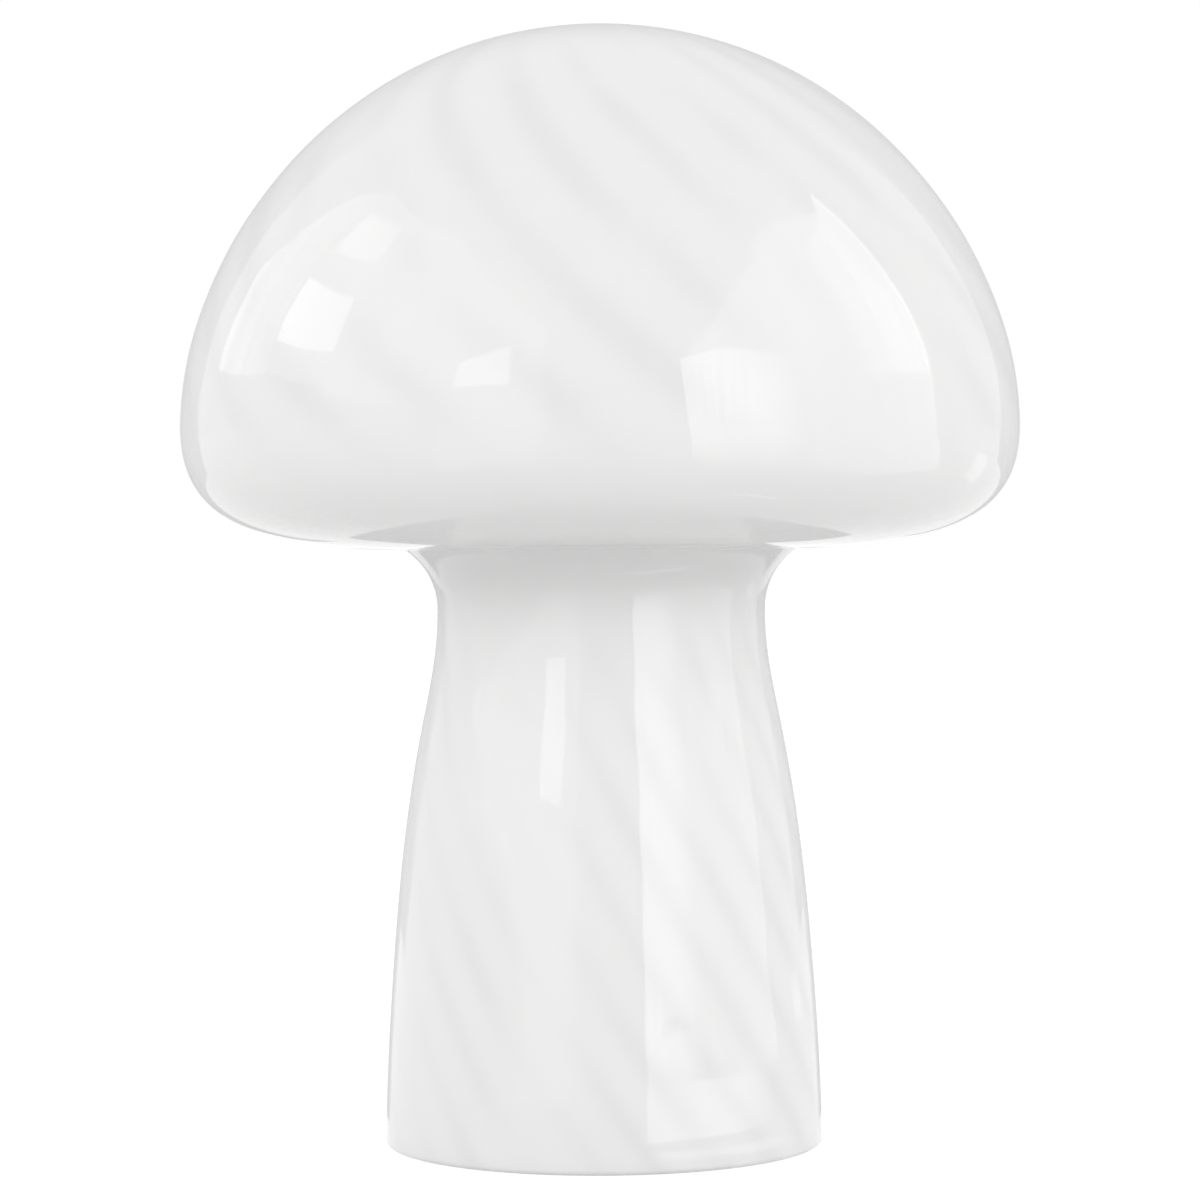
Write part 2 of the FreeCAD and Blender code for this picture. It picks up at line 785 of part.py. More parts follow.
def make_bulb_screw_cap():
    """The plated shell with the lamp thread as a rounded groove."""
    body = new_body("bulb_screw_cap")
    revolve(body, "shell_turning", lines(
        (shell_bore, shell_bottom), (size.shell_radius - size.shell_chamfer, shell_bottom),
        (size.shell_radius, shell_bottom + size.shell_chamfer), (size.shell_radius, shell_top),
        (shell_bore, shell_top),
    ))
    cut_screw_groove(
        body, "shell_groove", size.shell_groove_reach, size.shell_groove_radius,
        shell_groove_start, holder_top + size.thread_pitch / 2 - shell_groove_start,
    )
    return body


def make_bulb_housing():
    """The white plastic part that flares from the shell to the globe, with a ledge for the LED board."""
    lean = size.bulb_seam_drop / size.bulb_radius
    rise = seam_radius / size.bulb_radius
    reach = (bulb_seam - shell_top) / 3
    inner_seam = seam_radius - size.housing_wall
    ledge = inner_seam - size.housing_ledge
    bore = size.housing_radius - 2 * size.housing_wall
    flare_top = (ledge - lean * reach, led_board_bottom - rise * reach)
    return turned("bulb_housing", [
        ((size.housing_radius, shell_top),),
        ((size.housing_radius, shell_top + reach), (seam_radius - lean * reach, bulb_seam - rise * reach),
         (seam_radius, bulb_seam)),
        ((inner_seam, bulb_seam),),
        ((inner_seam, led_board_bottom),),
        ((ledge, led_board_bottom),),
        (flare_top, (bore, shell_top + reach), (bore, shell_top)),
    ])


def make_bulb_globe():
    """An opal shell: a ball cut level where it meets the housing."""
    outside = doc.addObject("Part::Sphere", "globe_outside")
    inside = doc.addObject("Part::Sphere", "globe_inside")
    bind(outside, Radius=size.bulb_radius)
    bind(inside, Radius=size.bulb_radius - size.bulb_wall)
    outside.setExpression("Angle1", f"-asin({(size.bulb_seam_drop / size.bulb_radius).formula})")
    for ball in (outside, inside):
        ball.setExpression("Placement.Base.z", bulb_centre.formula)
    globe = doc.addObject("Part::Cut", "bulb_globe")
    globe.Base = outside
    globe.Tool = inside
    globe.Label = "bulb_globe"
    return globe


def make_led_board():
    board_radius = seam_radius - size.housing_wall - size.thread_clearance
    return turned("led_board", rectangle(0, board_radius, led_board_bottom, led_board_top))


def make_led_chips():
    """Square chips on a circle, each a solid of its own."""
    chips = []
    half = size.led_chip_size / 2
    for number in range(LED_COUNT):
        chip = new_body(f"led_chip_{number + 1}")
        extrude_outline(
            chip, f"chip_{number + 1}",
            rectangle(size.led_circle_radius - half, size.led_circle_radius + half, -half, half),
            "XY_Plane", size.led_chip_height, offset=led_board_top,
        )
        chip.Placement = turned_about_axis(number * 360 / LED_COUNT)
        chips.append(chip)
    return group("led_chips", chips)


def make_driver_board():
    """An upright board that runs from the shell up to the LED board."""
    body = new_body("driver_board")
    bottom = shell_bottom + size.insulator_plug + size.contact_gap
    plate = rectangle(-size.driver_width / 2, size.driver_width / 2, bottom, led_board_bottom)
    extrude_outline(body, "driver_plate", plate, "XZ_Plane", size.driver_thickness, symmetric=True)
    return body


# ---- Building, checking and writing ---------------------------------------------------------------


glass_body = make_glass_body()
pieces = [glass_body, make_cord_grommet(glass_body), make_spring_bracket()]
pieces += [make_arm_sleeve(number + 1) for number in range(ARM_COUNT)]
pieces += [
    make_tube(),
    make_washer("lower_washer", lower_nut_seat),
    make_washer("upper_washer", hub_top),
    make_nut("lower_nut", lower_nut_seat - size.nut_height),
    make_nut("upper_nut", upper_nut_seat),
    make_tube_bush(),
    make_holder_cap(),
    make_lock_screw(),
    make_holder_skirt(),
    make_terminal_block(),
    make_terminal_screws(),
    make_centre_contact(),
    make_side_contact(),
    make_bulb_tip(),
    make_bulb_insulator(),
    make_bulb_screw_cap(),
    make_bulb_housing(),
    make_bulb_globe(),
    make_led_board(),
    make_led_chips(),
    make_driver_board(),
]
doc.recompute()

for item in doc.Objects:
    if "Invalid" in item.State or "Error" in item.State:
        raise RuntimeError(f"{item.Label} failed: {item.State}")
for piece in pieces:
    if piece.Shape.isNull() or not piece.Shape.isValid():
        raise RuntimeError(f"{piece.Label} has no valid shape")
for piece in pieces:
    piece.Shape.exportStep(f"parts/{piece.Label}.step")
    print(f"{piece.Label}: {len(piece.Shape.Solids)} solid(s), {piece.Shape.Volume:.1f} mm3")
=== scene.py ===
import math

import bmesh
import bpy
from bpy.props import FloatProperty, FloatVectorProperty, IntProperty, PointerProperty
from mathutils import Matrix, Vector, noise


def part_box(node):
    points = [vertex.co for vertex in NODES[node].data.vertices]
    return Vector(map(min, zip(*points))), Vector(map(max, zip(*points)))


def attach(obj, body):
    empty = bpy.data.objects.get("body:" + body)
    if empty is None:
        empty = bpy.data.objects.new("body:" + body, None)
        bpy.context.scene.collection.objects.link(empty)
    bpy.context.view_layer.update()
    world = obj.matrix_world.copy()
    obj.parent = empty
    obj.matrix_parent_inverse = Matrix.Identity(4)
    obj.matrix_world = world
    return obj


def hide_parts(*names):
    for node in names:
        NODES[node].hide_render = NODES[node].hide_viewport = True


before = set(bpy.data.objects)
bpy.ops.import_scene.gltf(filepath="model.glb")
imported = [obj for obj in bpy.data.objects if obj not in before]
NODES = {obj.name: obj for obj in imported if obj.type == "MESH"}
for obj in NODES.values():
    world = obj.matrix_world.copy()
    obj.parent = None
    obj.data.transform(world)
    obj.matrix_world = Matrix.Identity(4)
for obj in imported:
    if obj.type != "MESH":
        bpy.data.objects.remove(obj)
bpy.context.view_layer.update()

# A mushroom table lamp in blown opal glass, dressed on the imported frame. All lengths are in metres,
# the lamp stands on the origin, +Z is up and the cord's hole is at the back, on +Y.

bl_info = {
    "name": "Mushroom Table Lamp",
    "version": (1, 0, 0),
    "blender": (4, 5, 0),
    "location": "3D View > Sidebar > Lamp",
    "description": "Blows the opal glass of a mushroom lamp and finishes the fittings inside it",
    "category": "Add Mesh",
}

GLASS_LOW, GLASS_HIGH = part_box("glass_body")
TUBE_LOW, TUBE_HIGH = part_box("threaded_tube")
HOLE_LOW, HOLE_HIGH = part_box("cord_grommet")

TURN = 2 * math.pi
QUARTER_ROUND = 0.5523  # handle length of a cubic that follows a quarter circle

# How full the curves of the glass's profile are, each a share of the height or width that it spans.
FOOT_LEAN = 0.028
STEM_FULLNESS = 0.76
WAIST_FULLNESS = 0.195
THROAT_RISE = 0.69
THROAT_FULLNESS = 0.10
BRIM_FULLNESS = 0.815
RIM_FULLNESS = 0.59
SHOULDER_FULLNESS = 0.43
CROWN_FULLNESS = 0.62

# How finely the glass is drawn: sides round it, steps along its four curves and steps round the foot's edge.
GLASS_SIDES = 264
OUTSIDE_STEPS = (84, 18, 60, 96)
INSIDE_STEPS = (40, 8, 30, 48)
EDGE_STEPS = 6

# How far a swirl line wanders from its course, in radians of its wave, and how narrow it is.
LINE_WANDER = 4.0
LINE_SHARPNESS = 1.7

# Between which two heights, or radii at the crown, the glass's lines and the painted shade in its fold under
# the cap come in or fade out.
STEM_LINES_END = (0.132, 0.150)
STEM_LINE_STRENGTH = 0.85
DOME_LINES_START = (0.172, 0.200)
CROWN_LINES_START = (0.002, 0.026)
FOLD_SHADE_START = (0.134, 0.152)
FOLD_SHADE_END = (0.154, 0.171)

# Where the hand-blown unevenness starts over the foot, the radius over which it fades at the crown, and
# how many of its waves go to a metre.
CALM_FOOT = 0.022
CALM_RISE = 0.03
CALM_CROWN = 0.02
WAVES = 13.0
WAVES_START = Vector((3.1, 0.4, 7.7))

# The studio's cards stand on a dome round the axis at LOOK_HEIGHT and lie on the floor inside it.
LOOK_HEIGHT = 0.19
STUDIO_REACH = 3.0
CARD_ROWS = 48
CARD_STEP = 4  # degrees of azimuth
CARD_CLEARANCE = 0.99  # share of the way to the floor, so that a card lies just over it
CARD_LOW_PART = 0.4  # share of a card's height over which its lowest edge fades
CARD_LEVEL = "card_level"
CURTAIN_WAVE = 30.0

# The floor: half its width, how far under the foot it lies, between which distances its painted shade near
# the lamp gives way to its plain colour, and the share and level of the white in what is seen of it.
FLOOR_REACH = 12.0
FLOOR_GAP = 0.00005
FLOOR_SHADE_REACH = (0.12, 0.36)
FLOOR_WHITE_SHARE = 0.72
FLOOR_WHITE = 1.22


# ---- Settings ---------------------------------------------------------------------------------------


def length(name, text, default):
    """A length a user may change, shown in the scene's own unit."""
    return FloatProperty(name=name, description=text, default=default, min=0.0, unit="LENGTH", precision=4)


def share(name, text, default, high=1.0):
    return FloatProperty(name=name, description=text, default=default, min=0.0, max=high, precision=3)


def colour(name, text, default):
    return FloatVectorProperty(
        name=name, description=text, default=default, subtype="COLOR", size=3, min=0.0, max=1.0,
    )


class GlassSettings(bpy.types.PropertyGroup):
    """Sizes and colours of the blown glass."""

    height: length("Height", "Height of the lamp", GLASS_HIGH.z)
    cap_radius: length("Cap radius", "Largest radius of the cap", GLASS_HIGH.x)
    widest_height: length("Widest height", "Height at which the cap is widest", 0.190)
    brim_height: length("Brim height", "Height of the cap's underside", 0.1575)
    brim_radius: length("Brim radius", "Radius at which the underside is lowest", 0.053)
    neck_height: length("Neck height", "Height of the narrowest place", 0.1415)
    neck_radius: length("Neck radius", "Radius of the narrowest place", 0.0436)
    foot_radius: length("Foot radius", "Radius of the open foot", 0.058)
    wall: length("Wall", "Thickness of the glass", 0.004)
    foot_round: length("Foot rounding", "Radius of the fire-polished edges of the foot", 0.0015)
    hole_radius: length("Cord hole radius", "Radius of the hole for the cord", 0.005)
    swirls: IntProperty(name="Swirls", description="Number of swirl lines round the lamp", default=22, min=1)
    swirl_start: FloatProperty(
        name="Swirl start", description="Where round the foot the first swirl line starts",
        default=math.radians(8.2), subtype="ANGLE",
    )
    twist: FloatProperty(
        name="Twist", description="Radians that the swirl lines turn per metre of height at the foot",
        default=13.43,
    )
    twist_slowing: FloatProperty(
        name="Twist slowing", description="How the twist lessens up the stem", default=-20.45,
    )
    twist_growth: FloatProperty(
        name="Twist growth", description="How the twist grows again over the cap", default=37.1,
    )
    ripple: length("Ripple", "Depth of the ripple along the swirl lines", 0.00005)
    unevenness: length("Unevenness", "Depth of the slow waves that blowing by hand leaves", 0.00025)
    colour: colour("Glass", "Colour of the opal glass", (0.895, 0.895, 0.892))
    swirl_colour: colour("Swirl", "Colour of the clearer swirl lines", (0.842, 0.843, 0.842))
    # Painted shade: a darker colour given to the fold under the cap, where the cap's shadow falls.
    fold_shade_colour: colour("Fold", "Colour of the thicker glass in the fold under the cap", (0.80, 0.80, 0.797))


class FittingSettings(bpy.types.PropertyGroup):
    """Sizes and colours of the bracket, tube and lampholder."""

    thread_pitch: length("Thread pitch", "Pitch of the tube's thread", 0.001)
    thread_depth: length("Thread depth", "Depth of the tube's thread", 0.0004)
    tube_bore: length("Tube bore", "Radius of the cord's way through the tube", 0.0039)
    rubber: colour("Rubber", "Colour of the cord's grommet", (0.80, 0.80, 0.79))
    silicone: colour("Silicone", "Colour of the sleeves on the spring arms", (0.85, 0.85, 0.84))
    spring: colour("Spring steel", "Colour of the bracket", (0.62, 0.62, 0.63))
    zinc: colour("Zinc", "Colour of the plated tube, nuts, washers and screws", (0.70, 0.70, 0.72))
    plastic: colour("Plastic", "Colour of the lampholder", (0.86, 0.86, 0.85))
    ceramic: colour("Ceramic", "Colour of the terminal block", (0.84, 0.83, 0.80))
    brass: colour("Brass", "Colour of the contact leaves", (0.80, 0.62, 0.30))


class BulbSettings(bpy.types.PropertyGroup):
    """Colours of the bulb."""

    globe: colour("Globe", "Colour of the diffusing globe", (0.86, 0.86, 0.85))
    housing: colour("Housing", "Colour of the housing under the globe", (0.84, 0.84, 0.83))
    nickel: colour("Nickel", "Colour of the screw shell", (0.78, 0.77, 0.75))
    insulator: colour("Insulator", "Colour of the black glass ring", (0.05, 0.05, 0.06))
    tin: colour("Tin", "Colour of the tinned tip", (0.72, 0.66, 0.50))
    led_board: colour("LED board", "Colour of the board under the globe", (0.86, 0.86, 0.86))
    phosphor: colour("Phosphor", "Colour of the light sources on the board", (0.95, 0.80, 0.25))
    board: colour("Board", "Colour of the driver board", (0.10, 0.35, 0.18))


class StudioSettings(bpy.types.PropertyGroup):
    """Light, floor and camera."""

    distance: length("Distance", "Distance of the camera from the lamp's axis", 1.0)
    camera_height: length("Camera height", "Height of the camera over the floor", 0.1562)
    camera_aside: length("Camera aside", "How far the camera stands left of the axis", 0.0003)
    pitch: FloatProperty(
        name="Pitch", description="How far the camera looks down", default=math.radians(0.70),
        subtype="ANGLE",
    )
    roll: FloatProperty(
        name="Roll", description="How far the camera leans", default=math.radians(-0.34), subtype="ANGLE",
    )
    focal_length: FloatProperty(
        name="Focal length", description="Focal length in millimetres on a 36 mm wide sensor", default=112.86,
    )
    sky_low: share("Light from the side", "Level of the soft light low round the lamp", 1.84, high=4.0)
    sky_high: share("Light from above", "Level of the soft light overhead", 0.54, high=4.0)
    sky_dip: share("Horizon light", "How much of that light is left right at the horizon", 0.12)
    sky_dip_rise: share("Horizon rise", "Rise of the direction at which it is whole again", 0.22)
    window: share("Window", "Level of the large window seen in the glass", 2.85, high=20.0)
    side_window: share("Side window", "Level of the dimmer window on the left", 1.6, high=20.0)
    backdrop_shade: share("Backdrop shade", "Level of the cards that draw the lamp's edges", 0.66)
    floor: colour("Floor", "Colour of the floor", (0.80, 0.80, 0.80))
    # Painted shade: the floor close to the lamp is given a darker colour, standing in for the shade under the
    # cap.
    floor_shade_colour: colour("Floor under the cap", "Colour of the floor close to the lamp", (0.70, 0.70, 0.70))


# ---- Meshes -----------------------------------------------------------------------------------------


def new_piece(name, vertices, faces, body=None):
    """A smooth mesh object from points and faces, which rides on a body of the frame."""
    mesh = bpy.data.meshes.new(name)
    mesh.from_pydata(vertices, [], faces)
    mesh.update()
    mesh.shade_smooth()
    piece = bpy.data.objects.new(name, mesh)
    bpy.context.scene.collection.objects.link(piece)
    if body:
        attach(piece, body)
    return piece


def cubic_points(poles, count):
    """Points along a cubic curve, without its first one."""
    points = []
    for step in range(1, count + 1):
        t = step / count
        rest = 1 - t
        weights = (rest ** 3, 3 * rest * rest * t, 3 * rest * t * t, t ** 3)
        points.append(tuple(sum(w * pole[axis] for w, pole in zip(weights, poles)) for axis in (0, 1)))
    return points


def ring_faces(ring_count, around, closed):
    """Faces between rings of vertices that follow one another; closed joins the last ring to the first."""
    faces = []
    for ring in range(ring_count if closed else ring_count - 1):
        low = ring * around
        high = (ring + 1) % ring_count * around
        for k in range(around):
            after = (k + 1) % around
            faces.append((low + k, low + after, high + after, high + k))
    return faces


def cut_hole(piece, radius, start, end):
    """Cuts a round hole along the line from start to end."""
    cutter = bmesh.new()
    axis = Vector(end) - Vector(start)
    turned = axis.to_track_quat("Z", "Y").to_matrix().to_4x4()
    place = Matrix.Translation((Vector(start) + Vector(end)) / 2) @ turned
    bmesh.ops.create_cone(
        cutter, cap_ends=True, segments=64, radius1=radius, radius2=radius, depth=axis.length, matrix=place,
    )
    mesh = bpy.data.meshes.new("cutter")
    cutter.to_mesh(mesh)
    cutter.free()
    tool = bpy.data.objects.new("cutter", mesh)
    bpy.context.scene.collection.objects.link(tool)
    cut = piece.modifiers.new("hole", "BOOLEAN")
    cut.operation = "DIFFERENCE"
    cut.solver = "EXACT"
    cut.object = tool
    bpy.context.view_layer.update()
    done = bpy.data.meshes.new_from_object(piece.evaluated_get(bpy.context.evaluated_depsgraph_get()))
    piece.modifiers.clear()
    piece.data = done
    bpy.data.objects.remove(tool)
    done.set_sharp_from_angle(angle=math.radians(40))


# ---- The glass's shape ------------------------------------------------------------------------------


def glass_curves(glass, inset):
    """The profile from foot to crown as four cubic curves, moved into the glass by inset."""
    foot = glass.foot_radius - inset
    neck = glass.neck_radius - inset
    cap = glass.cap_radius - inset
    crown = glass.height - inset
    brim = glass.brim_height + inset
    handle = STEM_FULLNESS * glass.neck_height
    throat_width = glass.brim_radius - neck
    rolled_height = glass.widest_height - brim
    stem = [
        (foot, glass.foot_round), (foot - FOOT_LEAN * handle, handle),
        (neck, glass.neck_height * (1 - WAIST_FULLNESS)), (neck, glass.neck_height),
    ]
    throat = [
        stem[-1], (neck, glass.neck_height + THROAT_RISE * (brim - glass.neck_height)),
        (glass.brim_radius - THROAT_FULLNESS * throat_width, brim), (glass.brim_radius, brim),
    ]
    rolled = [
        throat[-1], (glass.brim_radius + BRIM_FULLNESS * (cap - glass.brim_radius), brim),
        (cap, glass.widest_height - RIM_FULLNESS * rolled_height), (cap, glass.widest_height),
    ]
    dome = [
        rolled[-1], (cap, glass.widest_height + SHOULDER_FULLNESS * (crown - glass.widest_height)),
        (CROWN_FULLNESS * cap, crown), (0, crown),
    ]
    return [stem, throat, rolled, dome]


def glass_profile(glass):
    """The closed outline: outside from foot to crown, inside back down, then round the foot's rim."""
    outside = [glass_curves(glass, 0)[0][0]]
    for curve, count in zip(glass_curves(glass, 0), OUTSIDE_STEPS):
        outside += cubic_points(curve, count)
    inner = glass_curves(glass, glass.wall)
    inside = [inner[0][0]]
    for curve, count in zip(inner, INSIDE_STEPS):
        inside += cubic_points(curve, count)
    inside.reverse()
    foot_inner = glass.foot_radius - glass.wall
    handle = glass.foot_round * (1 - QUARTER_ROUND)
    rim = cubic_points(
        [inside[-1], (foot_inner, handle), (foot_inner + handle, 0), (foot_inner + glass.foot_round, 0)],
        EDGE_STEPS,
    )
    flat_end = (glass.foot_radius - glass.foot_round, 0)
    rim += [flat_end]
    rim += cubic_points(
        [flat_end, (glass.foot_radius - handle, 0), (glass.foot_radius, handle), outside[0]], EDGE_STEPS,
    )[:-1]
    return outside, inside, rim


def swirl_phase(glass, angle, height):
    """How far round its wave a swirl line is at a place on the glass."""
    turned = glass.twist + height * (glass.twist_slowing + height * glass.twist_growth)
    return glass.swirls * (angle - glass.swirl_start + turned * height)


def blown_depth(glass, x, y, z):
    """How far blowing and twisting by hand left the surface below the true curve."""
    calm = min(1.0, max(0.0, (z - CALM_FOOT) / CALM_RISE))
    radius = math.hypot(x, y)
    crown_calm = min(1.0, radius / CALM_CROWN)
    line = 0.5 - 0.5 * math.cos(swirl_phase(glass, math.atan2(y, x), z))
    spread = radius / glass.cap_radius
    slow = 0.5 + 0.5 * noise.noise(Vector((x, y, z)) * WAVES + WAVES_START)
    return calm * crown_calm * (glass.ripple * line * spread + glass.unevenness * slow)


def make_glass(glass):
    around = GLASS_SIDES
    outside, inside, rim = glass_profile(glass)
    crown_outside = outside.pop()
    crown_inside = inside.pop(0)
    rings = inside + rim + outside
    first_outside = len(inside) + len(rim)
    vertices = []
    for index, (radius, height) in enumerate(rings):
        before = rings[index - 1]
        after = rings[index + 1] if index + 1 < len(rings) else crown_outside
        along = Vector((after[0] - before[0], after[1] - before[1])).normalized()
        for k in range(around):
            angle = TURN * k / around
            x, y, z = radius * math.cos(angle), radius * math.sin(angle), height
            if index >= first_outside:
                depth = blown_depth(glass, x, y, z)
                moved = radius - depth * along.y
                x, y, z = moved * math.cos(angle), moved * math.sin(angle), height + depth * along.x
            vertices.append((x, y, z))
    faces = ring_faces(len(rings), around, closed=False)
    inner_pole, outer_pole = len(vertices), len(vertices) + 1
    vertices += [(0, 0, crown_inside[1]), (0, 0, crown_outside[1])]
    last = (len(rings) - 1) * around
    for k in range(around):
        after = (k + 1) % around
        faces.append((after, k, inner_pole))
        faces.append((last + k, last + after, outer_pole))
    piece = new_piece("opal_glass_body", vertices, faces)
    hole_height = (HOLE_LOW.z + HOLE_HIGH.z) / 2
    cut_hole(
        piece, glass.hole_radius, (0, glass.foot_radius / 2, hole_height),
        (0, glass.foot_radius * 1.2, hole_height),
    )
    return piece


def make_threaded_tube(fittings):
    """A tube with a rolled thread along its outside and a plain bore."""
    around = 48
    per_pitch = 8
    chamfer = fittings.thread_depth
    outer = TUBE_HIGH.x
    steps = round((TUBE_HIGH.z - TUBE_LOW.z) / fittings.thread_pitch * per_pitch)
    vertices = []
    for step in range(steps + 1):
        height = TUBE_LOW.z + (TUBE_HIGH.z - TUBE_LOW.z) * step / steps
        end = min(height - TUBE_LOW.z, TUBE_HIGH.z - height)
        bevel = max(0.0, chamfer - end)
        for k in range(around):
            angle = TURN * k / around
            wave = 0.5 - 0.5 * math.cos(TURN * height / fittings.thread_pitch - angle)
            radius = outer - max(bevel, fittings.thread_depth * wave)
            vertices.append((radius * math.cos(angle), radius * math.sin(angle), height))
    bore = fittings.tube_bore
    for height in (TUBE_HIGH.z, TUBE_LOW.z):
        for k in range(around):
            angle = TURN * k / around
            vertices.append((bore * math.cos(angle), bore * math.sin(angle), height))
    faces = ring_faces(steps + 3, around, closed=True)
    piece = new_piece("rolled_thread_tube", vertices, faces, "lampholder")
    piece.data.set_sharp_from_angle(angle=math.radians(50))
    return piece


# ---- Finishes ---------------------------------------------------------------------------------------


class Shading:
    """A node tree with short ways to add and join its nodes."""

    def __init__(self, owner):
        owner.use_nodes = True
        self.nodes = owner.node_tree.nodes
        self.links = owner.node_tree.links

    def add(self, kind, inputs=(), **settings):
        """A node of a kind; inputs maps a socket's name or number to a value or to another node's output."""
        node = self.nodes.new(f"ShaderNode{kind}")
        for setting, value in settings.items():
            setattr(node, setting, value)
        for socket, value in dict(inputs).items():
            self.join(node.inputs[socket], value)
        return node

    def join(self, socket, value):
        if isinstance(value, bpy.types.NodeSocket):
            self.links.new(value, socket)
        else:
            socket.default_value = value

    def sum(self, operation, first, second=0.0, third=0.0):
        node = self.add("Math", {0: first, 1: second, 2: third}, operation=operation)
        return node.outputs[0]

    def where(self, kind="Object"):
        return self.add("TexCoord").outputs[kind]

    def height(self, kind="Object"):
        return self.add("SeparateXYZ", {"Vector": self.where(kind)}).outputs["Z"]

    def ramp(self, value, low, high, floor=0.0, top=1.0, shape="SMOOTHSTEP"):
        inputs = {"Value": value, "From Min": low, "From Max": high, "To Min": floor, "To Max": top}
        return self.add("MapRange", inputs, interpolation_type=shape).outputs["Result"]

    def seen_directly(self):
        """One for the camera's, glossy and transmitted rays, else nothing."""
        path = self.add("LightPath").outputs
        either = self.sum("MAXIMUM", path["Is Camera Ray"], path["Is Glossy Ray"])
        return self.sum("MAXIMUM", either, path["Is Transmission Ray"])


class Finish(Shading):
    """A material whose look is built up step by step."""

    def __init__(self, name, **plain):
        self.material = bpy.data.materials.new(name)
        super().__init__(self.material)
        self.surface = self.nodes["Principled BSDF"]
        for socket, value in plain.items():
            self.surface.inputs[socket.replace("_", " ")].default_value = value

    def place(self, scale=(1.0, 1.0, 1.0)):
        """Where a point is on the piece, stretched by scale."""
        return self.add("Mapping", {"Vector": self.where(), "Scale": scale}).outputs["Vector"]

    def noise(self, scale, detail=3.0, stretch=(1.0, 1.0, 1.0)):
        inputs = {"Vector": self.place(stretch), "Scale": scale, "Detail": detail, "Roughness": 0.55}
        return self.add("TexNoise", inputs).outputs["Fac"]

    def mix(self, amount, first, second):
        node = self.add("Mix", {"Factor": amount}, data_type="RGBA")
        self.join(node.inputs[6], first)
        self.join(node.inputs[7], second)
        return node.outputs[2]

    def colour(self, value):
        self.join(self.surface.inputs["Base Color"], value)

    def roughness(self, value, low, high):
        self.join(self.surface.inputs["Roughness"], self.ramp(value, 0.25, 0.75, low, high))

    def bump(self, height, distance):
        inputs = {"Height": height, "Distance": distance}
        self.join(self.surface.inputs["Normal"], self.add("Bump", inputs).outputs["Normal"])


def opaque(rgb, factor=1.0):
    return (*(min(1.0, part * factor) for part in rgb), 1.0)


def opal_glass(glass):
    """White opal glass whose clearer lines wind round it, with shade painted darker into its colour in the
    fold under the cap.
    """
    finish = Finish("opal_glass", IOR=1.5)
    where = finish.add("SeparateXYZ", {"Vector": finish.place()}).outputs
    angle = finish.sum("ARCTAN2", where["Y"], where["X"])
    height = where["Z"]
    slowed = finish.sum("MULTIPLY_ADD", height, glass.twist_growth, glass.twist_slowing)
    turn = finish.sum("MULTIPLY_ADD", slowed, height, glass.twist)
    wound = finish.sum("MULTIPLY_ADD", turn, height, angle)
    phase = finish.sum("MULTIPLY_ADD", wound, glass.swirls, -glass.swirls * glass.swirl_start)
    wander = finish.sum("MULTIPLY_ADD", finish.noise(9.0, 1.0), LINE_WANDER, -LINE_WANDER / 2)
    wave = finish.sum("COSINE", finish.sum("ADD", phase, wander))
    line = finish.sum("POWER", finish.sum("MULTIPLY_ADD", wave, 0.5, 0.5), LINE_SHARPNESS)
    strength = finish.ramp(finish.noise(17.0, 2.0, (1.0, 1.0, 0.5)), 0.36, 0.62, 0.10, 1.0)
    on_dome = finish.ramp(height, *DOME_LINES_START)
    on_stem = finish.ramp(height, *STEM_LINES_END, STEM_LINE_STRENGTH, 0.0)
    level_place = finish.place((1.0, 1.0, 0.0))
    from_axis = finish.add("VectorMath", {0: level_place}, operation="LENGTH").outputs["Value"]
    off_crown = finish.ramp(from_axis, *CROWN_LINES_START)
    placed = finish.sum("MULTIPLY", finish.sum("ADD", on_dome, on_stem), off_crown)
    streak = finish.sum("MULTIPLY", line, finish.sum("MULTIPLY", strength, placed))
    cloud = finish.ramp(finish.noise(34.0, 4.0), 0.35, 0.65, 0.0, 0.12)
    amount = finish.sum("MAXIMUM", finish.sum("ADD", streak, cloud), 0.0)
    drawn = finish.mix(amount, opaque(glass.colour), opaque(glass.swirl_colour))
    # Painted shade: the glass is given a darker colour in the fold under the cap, where the cap's shadow
    # falls.
    shade_below = finish.ramp(height, *FOLD_SHADE_START)
    shade_above = finish.ramp(height, *FOLD_SHADE_END, 1.0, 0.0)
    painted_fold_shade = finish.sum("MULTIPLY", shade_below, shade_above)
    finish.colour(finish.mix(painted_fold_shade, drawn, opaque(glass.fold_shade_colour)))
    finish.roughness(finish.noise(60.0, 3.0), 0.02, 0.045)
    finish.bump(finish.noise(70.0, 1.0), 0.00002)
    return finish.material


def moulded(name, rgb, grain=900.0, depth=0.00002, rough=(0.38, 0.52), **plain):
    """Moulded plastic or rubber: a fine grain, faint flow marks and a slightly uneven gloss."""
    finish = Finish(name, **plain)
    flow = finish.ramp(finish.noise(90.0, 4.0, (1.0, 1.0, 0.35)), 0.3, 0.7)
    finish.colour(finish.mix(flow, opaque(rgb), opaque(rgb, 0.93)))
    finish.roughness(finish.noise(260.0, 4.0), *rough)
    finish.bump(finish.noise(grain, 5.0), depth)
    return finish.material


def plated(name, rgb, rough=(0.22, 0.42), stretch=(1.0, 1.0, 12.0), grain=420.0, depth=0.00001, **plain):
    """Plated metal: rolling or turning marks along one direction, and a cloudy tarnish."""
    finish = Finish(name, Metallic=1.0, **plain)
    tarnish = finish.ramp(finish.noise(130.0, 5.0), 0.35, 0.75)
    finish.colour(finish.mix(tarnish, opaque(rgb), opaque(rgb, 0.80)))
    marks = finish.noise(grain, 5.0, stretch)
    finish.roughness(finish.sum("MULTIPLY_ADD", tarnish, 0.3, finish.sum("MULTIPLY", marks, 0.8)), *rough)
    finish.bump(marks, depth)
    return finish.material


